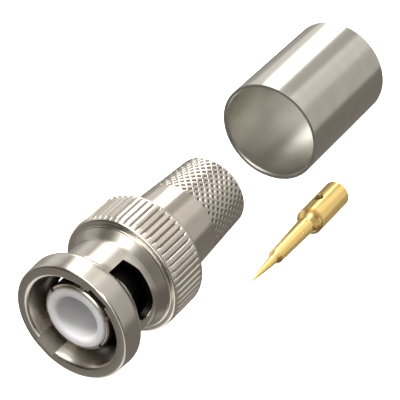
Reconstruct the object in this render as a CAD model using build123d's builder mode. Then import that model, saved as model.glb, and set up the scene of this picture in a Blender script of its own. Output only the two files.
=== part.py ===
"""Crimp bayonet plug for thick coaxial cable, laid out as three groups: the connector with its
coupling nut, the crimp ferrule behind it, and the centre contact beside it.

The connector's axis runs along Y. The mating face is at y = 0 and the cable end points to +Y.
Lengths are in millimetres and angles in degrees.
"""
import os
from math import atan2, cos, degrees, pi, radians, sin

from build123d import *

# Outer contact, the sleeve that all the radii around it start from
contact_front = 1.0
contact_radius = 4.08
contact_wall = 0.36
contact_chamfer = 0.18
contact_seat_length = 3.2
slot_count = 6
slot_width = 0.45
slot_length = 7.3
slot_angle = 20.0

# Coupling nut: outside
grip_start = 9.2
grip_wall = 0.7
rim_drop = 0.13
rim_length = 0.8
rim_round = 0.25
tail_length = 1.91
tail_round = 0.5
step_drop = 0.85
step_length = 0.4
step_round = 0.15
flare_length = 1.1
flare_round = 0.8
neck_wall = 0.8
neck_round = 1.3
flange_wall = 2.22
flange_length = 2.75
flange_slope_length = 0.95
flange_round = 0.9
face_drop = 0.15
face_round = 0.25

# Coupling nut: flutes of the grip
flute_count = 58
flute_depth = 0.2
flute_width = 0.3
flute_inset = 0.3
flute_tail = 0.47

# Coupling nut: inside, with room for the socket's barrel and for the rings behind the shoulder
barrel_room = 0.87
mouth_room = 0.8
mouth_length = 2.2
mouth_round = 0.43
shoulder_setback = 0.4
ring_room = 0.75
snap_groove_depth = 0.45

# Bayonet track: stud entrance grooves and the two windows in the neck
track_angle = 53.5
track_count = 2
track_width = 2.4
track_depth = 0.55
track_mouth_depth = 1.3
track_mouth_length = 1.6
mark_drop = 0.2
window_start = 3.55
window_width = 2.9
window_climb = 0.6
window_climb_length = 1.95
window_end_angle = 8.0

# Body with its collar and crimp stem
hub_length = 0.4
body_flange_length = 1.0
collar_wall = 1.27
collar_length = 2.7
smooth_length = 7.15
knurl_length = 7.14
stem_wall = 0.84
stem_bore_radius = 3.7
stem_chamfer = 0.15

# Diamond knurl of the stem, cut as rows of pits between crossing ridges
knurl_rows = 13
knurl_columns = 31
knurl_depth = 0.14
knurl_land = 0.3
knurl_margin = 0.1

# Insulator
insulator_front = 0.8
insulator_land_length = 3.1
insulator_round = 0.22
cup_radius = 2.58
cup_depth = 6.0
pot_seat_depth = 1.5
pin_bore_clearance = 0.05
pot_bore_clearance = 0.07

# Seal, washers, wave spring and snap ring
gasket_length = 1.05
gasket_round = 0.2
washer_thickness = 0.25
spring_free_height = 0.9
spring_thickness = 0.22
spring_waves = 3
snap_thickness = 0.6
snap_width = 0.85
snap_gap_angle = 28.0

# Crimp ferrule, with the room it leaves over the collar for the cable's braid
ferrule_wall = 0.52
ferrule_length = 17.24
ferrule_distance = 14.91
ferrule_offset = -1.02
ferrule_chamfer = 0.26
ferrule_round = 0.1
braid_room = 0.65

# Centre contact
pin_offset = 8.93
pin_lead = 5.69
pin_tip_radius = 0.06
cone_length = 4.85
cone_radius = 0.58
cone_bulge_share = 0.62
nose_length = 0.55
nose_radius = 0.85
shaft_length = 7.0
shaft_radius = 1.07
pot_slope_length = 0.8
pot_radius = 1.65
pot_length = 6.8
pot_round = 0.12
wire_bore_radius = 1.2
wire_bore_depth = 5.0
wire_bore_tip = 0.5
sight_hole_radius = 0.7
sight_hole_setback = 3.75
sight_hole_angle = 112.0

# Shared clearances and the overrun of every cut
gap = 0.02
snap_gap = 0.05
washer_gap = 0.08
running_gap = 0.1
overrun = 1.0

# Radii from the outer contact outwards
insulator_radius = contact_radius - contact_wall - gap
contact_seat_radius = contact_radius + gap
mate_radius = contact_radius + barrel_room
mouth_radius = mate_radius + mouth_room
hub_radius = mate_radius - running_gap
collar_radius = contact_radius + collar_wall
stem_end_radius = stem_bore_radius + stem_wall
washer_inner = collar_radius + washer_gap
cavity_radius = collar_radius + ring_room
washer_outer = cavity_radius - washer_gap
body_flange_radius = cavity_radius - running_gap
snap_groove_radius = cavity_radius + snap_groove_depth
snap_radius = snap_groove_radius - snap_gap
grip_radius = snap_groove_radius + grip_wall
rim_radius = grip_radius - rim_drop
step_radius = grip_radius - step_drop
neck_radius = mate_radius + neck_wall
flange_radius = mate_radius + flange_wall
face_radius = flange_radius - face_drop
mark_radius = face_radius - mark_drop
track_floor_radius = mate_radius + track_depth
track_mouth_radius = mate_radius + track_mouth_depth
ferrule_bore_radius = collar_radius + braid_room
ferrule_radius = ferrule_bore_radius + ferrule_wall
floor_height = -grip_radius

# Places along the axis, from the mating face to the ferrule
shoulder_position = grip_start + shoulder_setback
flange_front = shoulder_position + running_gap
body_front = flange_front - hub_length
flange_rear = flange_front + body_flange_length
spring_start = flange_rear + washer_thickness
rear_washer_start = spring_start + spring_free_height + gap
snap_start = rear_washer_start + washer_thickness + gap
snap_end = snap_start + snap_thickness
nut_length = snap_end + gap + tail_length
contact_end = body_front + contact_seat_length
slot_end = contact_front + slot_length
insulator_step = contact_end + gap
insulator_stop = contact_end + insulator_land_length
cup_floor = insulator_front + cup_depth
pot_seat = insulator_stop - pot_seat_depth
taper_start = flange_rear + collar_length
knurl_start = taper_start + smooth_length
stem_end = knurl_start + knurl_length
ferrule_start = stem_end + ferrule_distance
ferrule_end = ferrule_start + ferrule_length
pin_tip = stem_end - pin_lead
nose_start = pin_tip + cone_length
shaft_start = nose_start + nose_length
shaft_end = shaft_start + shaft_length
pot_start = shaft_end + pot_slope_length
pot_end = pot_start + pot_length

# Bayonet track: heights of the windows, and where the climb and the run behind it end
window_rear = window_start + window_climb + window_width
window_middle = window_rear - window_width / 2
climb_end = window_climb_length - track_width / 2
run_start = degrees(climb_end / neck_radius)
run_angle = track_angle - run_start - window_end_angle


def radial_plane(angle: float, centre: Vector = Vector(0, 0, 0)) -> Plane:
    """Plane across the radius at an angle from +X, with its own y along the connector's axis."""
    outward = (cos(radians(angle)), 0, sin(radians(angle)))
    sideways = (sin(radians(angle)), 0, -cos(radians(angle)))
    return Plane(origin=centre, x_dir=sideways, z_dir=outward)


def half_plane(angle: float) -> Plane:
    """Plane through the axis, with its x along the radius at an angle and its y along the axis."""
    outward = (cos(radians(angle)), 0, sin(radians(angle)))
    across = (-sin(radians(angle)), 0, cos(radians(angle)))
    return Plane(origin=(0, 0, 0), x_dir=outward, z_dir=across)


def cross_plane(position: float) -> Plane:
    """Plane across the axis that faces the mating end, at a distance behind the mating face."""
    return Plane.XZ.offset(-position)


def ring_section(inner: float, outer: float, start: float, end: float, plane: Plane = Plane.XY) -> Sketch:
    """Rectangle between two radii and two places along the axis."""
    with BuildSketch(plane) as section:
        with BuildLine():
            Polyline((inner, start), (outer, start), (outer, end), (inner, end), close=True)
        make_face()
    return section.sketch


def finish(piece: BuildPart, name: str) -> None:
    """Names a finished piece and writes it to its own file."""
    piece.part.label = name
    export_step(piece.part, f"parts/{name}.step")


os.makedirs("parts", exist_ok=True)

# Coupling nut: turned shell
nut_outline = [
    ((mate_radius, shoulder_position), 0),
    ((cavity_radius, shoulder_position), 0),
    ((cavity_radius, snap_start - gap), 0),
    ((snap_groove_radius, snap_start - gap), 0),
    ((snap_groove_radius, snap_end + gap), 0),
    ((cavity_radius, snap_end + gap), 0),
    ((cavity_radius, nut_length), 0),
    ((grip_radius, nut_length), tail_round),
    ((grip_radius, grip_start + rim_length), rim_length / 2),
    ((rim_radius, grip_start), rim_round),
    ((step_radius, grip_start), step_round),
    ((step_radius, grip_start - step_length), step_round),
    ((neck_radius, grip_start - step_length - flare_length), flare_round),
    ((neck_radius, flange_length + flange_slope_length), neck_round),
    ((flange_radius, flange_length), flange_round),
    ((face_radius, 0), face_round),
    ((mouth_radius, 0), mouth_round),
    ((mate_radius, mouth_length), 0),
]
with BuildPart() as coupling_nut:
    with BuildSketch(Plane.XY):
        with BuildLine():
            FilletPolyline(
                [point for point, _ in nut_outline],
                radius=[bend for _, bend in nut_outline],
                close=True,
            )
        make_face()
    revolve(axis=Axis.Y)

    # Grooves that let the studs in, each with a sloping mouth
    for turn in range(track_count):
        stud_angle = track_angle + turn * 360 / track_count
        stud_plane = radial_plane(stud_angle)
        with BuildSketch(stud_plane):
            with Locations((0, window_middle / 2)):
                Rectangle(track_width, window_middle)
        extrude(amount=track_floor_radius, mode=Mode.SUBTRACT)
        mouth_plane = half_plane(stud_angle).offset(-track_width / 2)
        with BuildSketch(mouth_plane):
            with BuildLine():
                Polyline(
                    (mate_radius, 0),
                    (track_mouth_radius, 0),
                    (track_floor_radius, track_mouth_length),
                    (mate_radius, track_mouth_length),
                    close=True,
                )
            make_face()
        extrude(amount=track_width, mode=Mode.SUBTRACT)

        # Bevelled mark on the outer edge, in line with the groove
        with BuildSketch(half_plane(stud_angle).offset(-flange_radius / 2)):
            with BuildLine():
                Polyline(
                    (mark_radius - overrun, -overrun),
                    (mark_radius + overrun, -overrun),
                    (mark_radius + overrun, overrun),
                    close=True,
                )
            make_face()
        extrude(amount=flange_radius, mode=Mode.SUBTRACT)

        # Window: a short climb from the groove, a straight run and a round end
        with BuildSketch(stud_plane.offset(mate_radius - running_gap)):
            with BuildLine():
                Polyline(
                    (-track_width / 2, window_start),
                    (-track_width / 2, window_start + window_width),
                    (climb_end, window_rear),
                    (climb_end, window_rear - window_width),
                    close=True,
                )
            make_face()
        extrude(amount=overrun, mode=Mode.SUBTRACT)
        revolve(
            ring_section(
                mate_radius - running_gap,
                neck_radius + overrun,
                window_rear - window_width,
                window_rear,
                half_plane(stud_angle - run_start),
            ),
            axis=Axis.Y,
            revolution_arc=run_angle,
            mode=Mode.SUBTRACT,
        )
        end_plane = radial_plane(stud_angle - run_start - run_angle)
        with BuildSketch(end_plane.offset(mate_radius - running_gap)):
            with Locations((0, window_middle)):
                Circle(window_width / 2)
        extrude(amount=overrun, mode=Mode.SUBTRACT)

    # Flutes, set so that a land lies on the floor
    flute_start = grip_start + flute_inset
    flute_end = nut_length - flute_tail
    with BuildSketch(cross_plane(flute_start)):
        with PolarLocations(grip_radius, flute_count, start_angle=180 / flute_count - 90):
            Polygon(
                (-flute_depth, 0),
                (flute_depth, flute_width),
                (flute_depth, -flute_width),
                align=None,
            )
    extrude(amount=flute_start - flute_end, mode=Mode.SUBTRACT)
finish(coupling_nut, "coupling_nut")

# Body: hub, flange, collar and tapered crimp stem, bored for the contact and the cable
knurl_taper = (collar_radius - stem_end_radius) / (stem_end - taper_start)
with BuildPart() as body_shell:
    with BuildSketch(Plane.XY):
        with BuildLine():
            Polyline(
                (contact_seat_radius, body_front),
                (hub_radius, body_front),
                (hub_radius, flange_front),
                (body_flange_radius, flange_front),
                (body_flange_radius, flange_rear),
                (collar_radius, flange_rear),
                (collar_radius, taper_start),
                (stem_end_radius + stem_chamfer * knurl_taper, stem_end - stem_chamfer),
                (stem_end_radius - stem_chamfer, stem_end),
                (stem_bore_radius, stem_end),
                (stem_bore_radius, insulator_stop),
                (contact_seat_radius, insulator_stop),
                close=True,
            )
        make_face()
    revolve(axis=Axis.Y)

    # Diamond pits in staggered rows, each as wide as its column allows
    row_pitch = (stem_end - stem_chamfer - knurl_start - 2 * knurl_margin) / knurl_rows
    for row in range(knurl_rows):
        pit_place = knurl_start + knurl_margin + (row + 0.5) * row_pitch
        surface = collar_radius - (pit_place - taper_start) * knurl_taper
        pit_width = 2 * pi * surface / knurl_columns - knurl_land
        pit_length = 2 * row_pitch - knurl_land
        stagger = row % 2 / 2
        for column in range(knurl_columns):
            pit_angle = (column + stagger) * 360 / knurl_columns
            with BuildSketch(radial_plane(pit_angle).offset(surface - knurl_depth)):
                with Locations((0, pit_place)):
                    with BuildLine():
                        Polyline(
                            (-pit_width / 2, 0),
                            (0, -pit_length / 2),
                            (pit_width / 2, 0),
                            (0, pit_length / 2),
                            close=True,
                        )
                    make_face()
        extrude(amount=knurl_depth * 2, mode=Mode.SUBTRACT)
finish(body_shell, "body_shell")

# Outer contact: thin sleeve with a row of spring fingers
with BuildPart() as outer_contact:
    revolve(
        ring_section(contact_radius - contact_wall, contact_radius, contact_front, contact_end),
        axis=Axis.Y,
    )
    tip_edge = outer_contact.edges().filter_by(GeomType.CIRCLE).group_by(Axis.Y)[0].sort_by(SortBy.RADIUS)[-1]
    chamfer(tip_edge, contact_chamfer)
    slot_run = slot_length + overrun
    for slot in range(slot_count):
        with BuildSketch(radial_plane(slot_angle + slot * 360 / slot_count)):
            with Locations((0, slot_end - slot_run / 2)):
                Rectangle(slot_width, slot_run)
        extrude(amount=contact_radius + overrun, mode=Mode.SUBTRACT)
finish(outer_contact, "outer_contact")

# Insulator: deep cup in front, bored behind for the centre contact
insulator_outline = [
    ((cup_radius, insulator_front), insulator_round),
    ((insulator_radius, insulator_front), insulator_round),
    ((insulator_radius, insulator_step), 0),
    ((contact_seat_radius - gap, insulator_step), 0),
    ((contact_seat_radius - gap, insulator_stop), 0),
    ((pot_radius + pot_bore_clearance, insulator_stop), 0),
    ((pot_radius + pot_bore_clearance, pot_seat), 0),
    ((shaft_radius + pin_bore_clearance, pot_seat), 0),
    ((shaft_radius + pin_bore_clearance, cup_floor), 0),
    ((cup_radius, cup_floor), 0),
]
with BuildPart() as insulator:
    with BuildSketch(Plane.XY):
        with BuildLine():
            FilletPolyline(
                [point for point, _ in insulator_outline],
                radius=[bend for _, bend in insulator_outline],
                close=True,
            )
        make_face()
    revolve(axis=Axis.Y)
finish(insulator, "insulator")

# Gasket: soft ring against the front of the hub
with BuildPart() as gasket:
    revolve(
        ring_section(contact_radius + gap, hub_radius - gap, body_front - gasket_length, body_front),
        axis=Axis.Y,
    )
    fillet(gasket.edges().filter_by(GeomType.CIRCLE).group_by(Axis.Y)[0], gasket_round)
finish(gasket, "gasket")

# Flat washers on both sides of the wave spring
with BuildPart() as front_washer:
    revolve(ring_section(washer_inner, washer_outer, flange_rear, spring_start), axis=Axis.Y)
finish(front_washer, "front_washer")

with BuildPart() as rear_washer:
    revolve(
        ring_section(washer_inner, washer_outer, rear_washer_start, snap_start - gap),
        axis=Axis.Y,
    )
finish(rear_washer, "rear_washer")

# Wave spring: a ring of flat blades that rise and fall in turn
blade_count = 2 * spring_waves
blade_angle = 360 / blade_count
blade_rise = spring_free_height - spring_thickness
blade_reach = 2 * washer_outer * sin(radians(blade_angle / 2))
blade_tilt = degrees(atan2(blade_rise, blade_reach))
spring_middle = spring_start + spring_free_height / 2
with BuildPart() as wave_spring:
    for blade in range(blade_count):
        middle_angle = (blade + 0.5) * blade_angle
        lean = blade_tilt if blade % 2 else -blade_tilt
        with BuildPart(mode=Mode.PRIVATE) as blade_slab:
            with BuildSketch(radial_plane(middle_angle).offset(washer_inner / 2)):
                with Locations((0, spring_middle)):
                    Rectangle(washer_outer * 2, spring_thickness, rotation=lean)
            extrude(amount=washer_outer)
            revolve(
                ring_section(
                    washer_inner + gap,
                    washer_outer - gap,
                    spring_start,
                    spring_start + spring_free_height,
                    half_plane(middle_angle + blade_angle / 2),
                ),
                axis=Axis.Y,
                revolution_arc=blade_angle,
                mode=Mode.INTERSECT,
            )
        add(blade_slab.part)
finish(wave_spring, "wave_spring")

# Snap ring: split ring in the groove of the nut
with BuildPart() as snap_ring:
    revolve(
        ring_section(snap_radius - snap_width, snap_radius, snap_start, snap_end),
        axis=Axis.Y,
        revolution_arc=360 - snap_gap_angle,
    )
finish(snap_ring, "snap_ring")

# Crimp ferrule: thin tube lying in line behind the stem
ferrule_centre = Vector(ferrule_offset, 0, floor_height + ferrule_radius)
ferrule_axis = Axis(ferrule_centre, (0, 1, 0))
with BuildPart() as crimp_ferrule:
    revolve(
        ring_section(
            ferrule_bore_radius,
            ferrule_radius,
            ferrule_start,
            ferrule_end,
            Plane(origin=ferrule_centre, z_dir=(0, 0, 1)),
        ),
        axis=ferrule_axis,
    )
    rims = crimp_ferrule.edges().filter_by(GeomType.CIRCLE)
    chamfer(rims.group_by(SortBy.RADIUS)[0], ferrule_chamfer)
    outer_rims = crimp_ferrule.edges().filter_by(GeomType.CIRCLE).group_by(SortBy.RADIUS)[-1]
    fillet(outer_rims, ferrule_round)
finish(crimp_ferrule, "crimp_ferrule")

# Centre contact: pointed nose, tapered shaft and a bored pot for the wire, lying beside the stem
pin_centre = Vector(pin_offset, 0, floor_height + pot_radius)
with BuildPart() as center_contact:
    with BuildSketch(Plane(origin=pin_centre, z_dir=(0, 0, 1))):
        with BuildLine():
            Line((0, pin_tip), (pin_tip_radius, pin_tip))
            ThreePointArc(
                (pin_tip_radius, pin_tip),
                (cone_radius * cone_bulge_share, pin_tip + cone_length / 2),
                (cone_radius, nose_start),
            )
            Polyline(
                (cone_radius, nose_start),
                (nose_radius, shaft_start),
                (shaft_radius, shaft_end),
                (pot_radius, pot_start),
                (pot_radius, pot_end - pot_round),
                (pot_radius - pot_round, pot_end),
                (wire_bore_radius, pot_end),
                (wire_bore_radius, pot_end - wire_bore_depth),
                (0, pot_end - wire_bore_depth - wire_bore_tip),
                (0, pin_tip),
            )
        make_face()
    revolve(axis=Axis(pin_centre, (0, 1, 0)))
    with BuildSketch(radial_plane(sight_hole_angle, pin_centre)):
        with Locations((0, pot_end - sight_hole_setback)):
            Circle(sight_hole_radius)
    extrude(amount=pot_radius + overrun, mode=Mode.SUBTRACT)
finish(center_contact, "center_contact")
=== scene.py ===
"""Looks of a crimp bayonet plug laid out as connector, crimp ferrule and centre contact.

Sizes in the classes are millimetres, as on the drawing of the part. Meshes are scaled to metres
when they are made. The connector's axis is Y, with the mating face at y = 0.
"""

import logging
import math
from dataclasses import dataclass
from enum import Enum
from typing import Callable, Optional, Sequence, Union

import bmesh
import bpy
from mathutils import Matrix, Vector

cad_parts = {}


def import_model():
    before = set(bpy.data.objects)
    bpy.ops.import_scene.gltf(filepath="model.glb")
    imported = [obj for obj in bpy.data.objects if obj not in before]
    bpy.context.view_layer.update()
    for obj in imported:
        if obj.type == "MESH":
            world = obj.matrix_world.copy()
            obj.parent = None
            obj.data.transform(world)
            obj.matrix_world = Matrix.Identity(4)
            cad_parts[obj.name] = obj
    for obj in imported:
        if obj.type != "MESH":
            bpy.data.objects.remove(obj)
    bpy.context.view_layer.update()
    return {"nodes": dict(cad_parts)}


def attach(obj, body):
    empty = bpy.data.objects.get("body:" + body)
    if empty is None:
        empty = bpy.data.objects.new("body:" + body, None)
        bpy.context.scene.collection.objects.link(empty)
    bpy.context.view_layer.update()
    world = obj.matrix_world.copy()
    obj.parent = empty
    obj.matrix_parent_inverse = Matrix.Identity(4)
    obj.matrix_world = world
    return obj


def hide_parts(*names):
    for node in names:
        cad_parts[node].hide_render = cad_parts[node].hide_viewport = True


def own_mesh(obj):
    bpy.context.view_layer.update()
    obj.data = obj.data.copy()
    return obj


log = logging.getLogger("connector")

MM = 0.001
TOLERANCE = 1e-4
SHARP_ANGLE = math.radians(34)

Number = Union[float, "Value"]


class Body(Enum):
    """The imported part's rigid bodies that new pieces move with."""

    CONNECTOR = "connector_body"
    NUT = "nut"
    FERRULE = "ferrule"


class Slot(Enum):
    """The material slots of the record."""

    NICKEL = "nickel"
    GOLD = "gold"
    INSULATOR = "insulator_white"
    SEAL = "seal"
    SPRING = "spring_metal"


# Shader maths


class Value:
    """A number that varies over a surface. Arithmetic on it adds Math nodes."""

    def __init__(self, graph: "Graph", socket: bpy.types.NodeSocket) -> None:
        """Keeps the socket and the graph it belongs to."""
        self.graph = graph
        self.socket = socket

    def __add__(self, other: Number) -> "Value":
        """Sum."""
        return self.graph.maths("ADD", self, other)

    __radd__ = __add__

    def __sub__(self, other: Number) -> "Value":
        """Difference."""
        return self.graph.maths("SUBTRACT", self, other)

    def __rsub__(self, other: Number) -> "Value":
        """Difference from a plain number."""
        return self.graph.maths("SUBTRACT", other, self)

    def __mul__(self, other: Number) -> "Value":
        """Product."""
        return self.graph.maths("MULTIPLY", self, other)

    __rmul__ = __mul__

    def ramp(self, low: float, high: float) -> "Value":
        """Turns the number into a smooth step.

        Args:
            low: Where the step is still 0.
            high: Where it reaches 1.

        Returns:
            The step.
        """
        settings = {"interpolation_type": "SMOOTHSTEP", "clamp": True}
        inputs = {"Value": self, "From Min": low, "From Max": high}
        node = self.graph.node("ShaderNodeMapRange", settings, inputs)
        return Value(self.graph, node.outputs["Result"])


class Graph:
    """The node tree of one material or of the world."""

    def __init__(self, tree: bpy.types.NodeTree) -> None:
        """Starts from an empty tree.

        Args:
            tree: The tree to fill.
        """
        self.tree = tree
        tree.nodes.clear()

    def node(
        self,
        kind: str,
        settings: Optional[dict] = None,
        inputs: Optional[dict] = None,
    ) -> bpy.types.Node:
        """Adds one node.

        Args:
            kind: The node's type.
            settings: Its properties, set before its sockets.
            inputs: Values or links, by socket name or index.

        Returns:
            The new node.
        """
        node = self.tree.nodes.new(kind)
        for name, setting in (settings or {}).items():
            setattr(node, name, setting)
        for name, value in (inputs or {}).items():
            socket = node.inputs[name]
            source = value.socket if isinstance(value, Value) else value
            if isinstance(source, bpy.types.NodeSocket):
                self.tree.links.new(source, socket)
            else:
                socket.default_value = source
        return node

    def maths(self, operation: str, *values: Number) -> Value:
        """Adds a Math node for an operation on one, two or three numbers."""
        node = self.node("ShaderNodeMath", {"operation": operation}, dict(enumerate(values)))
        return Value(self, node.outputs[0])

    def mix(self, factor: Number, first: object, second: object) -> bpy.types.NodeSocket:
        """Mixes two colours or colour sockets by the share of the second."""
        inputs = {"Factor": factor, 6: first, 7: second}
        return self.node("ShaderNodeMix", {"data_type": "RGBA"}, inputs).outputs[2]

    def noise(
        self, vector: object, scale: float, detail: float = 2.0, roughness: float = 0.5
    ) -> Value:
        """Adds a noise, about 0.5 in the middle, of so many features per unit."""
        inputs = {"Vector": vector, "Scale": scale, "Detail": detail, "Roughness": roughness}
        return Value(self, self.node("ShaderNodeTexNoise", {}, inputs).outputs[0])


class Surface(Graph):
    """A material's graph with coordinates round a turned piece's axis."""

    def __init__(self, name: str, axis_x: float = 0.0, axis_z: float = 0.0) -> None:
        """Starts a material.

        Args:
            name: The material's name.
            axis_x: Where the piece's axis lies across, in millimetres.
            axis_z: Where it lies in height, in millimetres.
        """
        self.material = bpy.data.materials.new(name)
        self.material.use_nodes = True
        super().__init__(self.material.node_tree)
        inputs = {
            "Vector": self.node("ShaderNodeTexCoord").outputs["Object"],
            "Location": (-axis_x, 0.0, -axis_z),
            "Scale": (1 / MM, 1 / MM, 1 / MM),
        }
        self.place = self.node("ShaderNodeMapping", {"vector_type": "POINT"}, inputs).outputs[0]
        parts = self.node("ShaderNodeSeparateXYZ", {}, {0: self.place})
        self.across, self.along, self.height = (Value(self, out) for out in parts.outputs)
        squares = self.across * self.across + self.height * self.height
        self.radius = self.maths("SQRT", squares)
        turned = self.node("ShaderNodeCombineXYZ", {}, {"X": self.radius, "Y": self.along})
        self.turned = turned.outputs[0]

    def attribute(self, name: str) -> Value:
        """Reads a number that the mesh carries at its points."""
        node = self.node("ShaderNodeAttribute", {"attribute_name": name})
        return Value(self, node.outputs["Fac"])

    def bump(self, height: Number, depth: float) -> bpy.types.NodeSocket:
        """Adds a bump whose height from 0 to 1 stands for a depth in millimetres."""
        inputs = {"Height": height, "Distance": depth * MM, "Strength": 1.0}
        return self.node("ShaderNodeBump", {}, inputs).outputs[0]

    def close(self, **sockets: object) -> bpy.types.Material:
        """Ends the material in a Principled shader.

        Args:
            sockets: Its sockets, with underscores for the spaces in their names.

        Returns:
            The finished material.
        """
        inputs = {name.replace("_", " "): value for name, value in sockets.items()}
        shader = self.node("ShaderNodeBsdfPrincipled", {}, inputs)
        self.node("ShaderNodeOutputMaterial", {}, {"Surface": shader.outputs[0]})
        return self.material


# Finishes


def dimmed(colour: Sequence[float], share: float) -> tuple:
    """A colour brought down to a share of its brightness."""
    return (*(share * part for part in colour[:3]), 1.0)


@dataclass(frozen=True)
class Plating:
    """Bright plating over turned brass, with lathe lines, handling marks and painted shade in
    recesses.
    """

    name: str
    tint: tuple
    shade: tuple
    roughness: float = 0.16
    metallic: float = 1.0
    recess_share: float = 0.65
    blur: float = 0.2
    line_depth: float = 0.0012
    line_scale: float = 7.0
    line_share: float = 0.7
    grain_scale: float = 11.0
    grain_blur: float = 0.05
    cloud_scale: float = 0.33
    cloud_range: tuple = (0.35, 0.7)
    cloud_blur: float = 0.06
    cloud_share: float = 0.94
    axis_x: float = 0.0
    axis_z: float = 0.0

    def shade_and_stains(self, surface: Surface) -> Value:
        """Share of the shade colour, from 0 to 1, as painted shade in the mesh's recesses."""
        return surface.attribute("recess") * self.recess_share

    def make(self) -> bpy.types.Material:
        """Builds the material.

        Returns:
            The finished material.
        """
        surface = Surface(self.name, self.axis_x, self.axis_z)
        lines = surface.noise(surface.turned, self.line_scale, 3.0, 0.65)
        grain = surface.noise(surface.place, self.grain_scale, 3.0, 0.6)
        cloud = surface.noise(surface.place, self.cloud_scale)
        shade_mix = self.shade_and_stains(surface)
        clouded = dimmed(self.tint, self.cloud_share)
        plain = surface.mix(cloud.ramp(*self.cloud_range), self.tint, clouded)
        # Painted shade: the shade colour is mixed in by that share, which also carries the gold
        # contact's stains and adds roughness.
        colour = surface.mix(shade_mix, plain, self.shade)
        rough = self.roughness + (cloud - 0.5) * self.cloud_blur + (grain - 0.5) * self.grain_blur
        rough = rough + shade_mix * self.blur
        marks = lines * self.line_share + grain * (1 - self.line_share)
        normal = surface.bump(marks, self.line_depth)
        return surface.close(
            Base_Color=colour, Metallic=self.metallic, Roughness=rough, Normal=normal
        )


@dataclass(frozen=True)
class NutPlating(Plating):
    """Plating of the nut, with painted shade in its bore, windows, stud grooves and flutes, and a
    band of painted shade over its front.
    """

    wall: tuple = (5.66, 5.74)
    near: tuple = (0.1, 0.7)
    near_share: float = 0.4
    deep: tuple = (2.4, 3.6)
    groove_angle: float = 53.5
    groove_side: tuple = (1.2, 1.24)
    groove_mouth: tuple = (6.29, 6.34)
    groove_slope: float = 0.469
    groove_start: tuple = (0.0, 0.12)
    groove_share: float = 0.4
    front_share: float = 0.2
    flare_start: tuple = (7.0, 7.6)
    flare_end: tuple = (8.9, 9.1)
    flare_share: float = 0.4

    def shade_and_stains(self, surface: Surface) -> Value:
        """Share of the shade colour, from 0 to 1, as painted shade.

        Args:
            surface: The material's graph.

        Returns:
            The share of the shade colour.
        """
        # Painted shade in the bore and behind the windows, deeper towards the back.
        near, deep = surface.along.ramp(*self.near), surface.along.ramp(*self.deep)
        depth = near * self.near_share + deep * (1 - self.near_share)
        hollow = (1 - surface.radius.ramp(*self.wall)) * depth
        # Painted shade in the two stud grooves.
        turn = math.radians(self.groove_angle)
        outward = surface.across * math.cos(turn) + surface.height * math.sin(turn)
        sideways = surface.height * math.cos(turn) - surface.across * math.sin(turn)
        reach = surface.maths("ABSOLUTE", outward) + surface.along * self.groove_slope
        aside = surface.maths("ABSOLUTE", sideways)
        groove = (1 - aside.ramp(*self.groove_side)) * (1 - reach.ramp(*self.groove_mouth))
        cut = groove * surface.along.ramp(*self.groove_start) * self.groove_share
        # Painted shade: a darker band over the nut's front up to the grip, darker still from the
        # neck's flare on.
        step = surface.along.ramp(*self.flare_start) * (self.flare_share - self.front_share)
        front = (1 - surface.along.ramp(*self.flare_end)) * (step + self.front_share)
        outside = surface.maths("MAXIMUM", super().shade_and_stains(surface), front)
        return surface.maths("MAXIMUM", surface.maths("MAXIMUM", hollow, cut), outside)


@dataclass(frozen=True)
class SleevePlating(Plating):
    """Plating of the outer contact, with painted shade where it lies deep inside the nut."""

    deep: tuple = (2.4, 3.6)

    def shade_and_stains(self, surface: Surface) -> Value:
        """Share of the shade colour, from 0 to 1, as painted shade deep inside the nut."""
        return surface.along.ramp(*self.deep)


@dataclass(frozen=True)
class TubePlating(Plating):
    """Plating of the ferrule, with painted shade, and more roughness, in its bore and on its end
    faces.
    """

    bore: tuple = (6.1, 6.2)
    bore_share: float = 0.1
    middle: float = 51.22
    end_shade: tuple = (8.57, 8.61)
    end_shade_share: float = 0.4
    blur: float = 2.2

    def shade_and_stains(self, surface: Surface) -> Value:
        """Share of the shade colour, from 0 to 1, as painted shade in the bore and on the end
        faces.

        Args:
            surface: The material's graph.

        Returns:
            The share of the shade colour.
        """
        # Painted shade: a little in the bore, more on both end faces.
        bore = (1 - surface.radius.ramp(*self.bore)) * self.bore_share
        end_shade = surface.maths("ABSOLUTE", surface.along - self.middle).ramp(*self.end_shade)
        return surface.maths("MAXIMUM", bore, end_shade * self.end_shade_share)


@dataclass(frozen=True)
class GoldPlating(Plating):
    """Gold plating with brown stains at the contact's shoulders, and painted shade inside its wire
    bore and sight hole.
    """

    shoulders: tuple = ((34.9, 0.4, 1.3), (27.2, 0.2, 0.8))
    stain_scale: float = 0.8
    stain: tuple = (0.51, 0.56)
    stain_share: float = 0.85
    pot: tuple = (35.4, 41.8)
    pot_edge: float = 0.1
    bore: tuple = (1.5, 1.58)
    bore_share: float = 0.9

    def shade_and_stains(self, surface: Surface) -> Value:
        """Share of the shade colour, from 0 to 1: stains at the shoulders, and painted shade in the
        bore.

        Args:
            surface: The material's graph.

        Returns:
            The share of the shade colour.
        """
        near = [
            1 - surface.maths("ABSOLUTE", surface.along - place).ramp(full, gone)
            for place, full, gone in self.shoulders
        ]
        patches = surface.noise(surface.place, self.stain_scale).ramp(*self.stain)
        stains = surface.maths("MAXIMUM", *near) * patches * self.stain_share
        # Painted shade inside the wire bore and the sight hole.
        start, end = self.pot
        past = surface.along.ramp(end, end + self.pot_edge)
        inside = surface.along.ramp(start - self.pot_edge, start) * (1 - past)
        bore = (1 - surface.radius.ramp(*self.bore)) * inside * self.bore_share
        return surface.maths("MAXIMUM", stains, bore)


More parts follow.
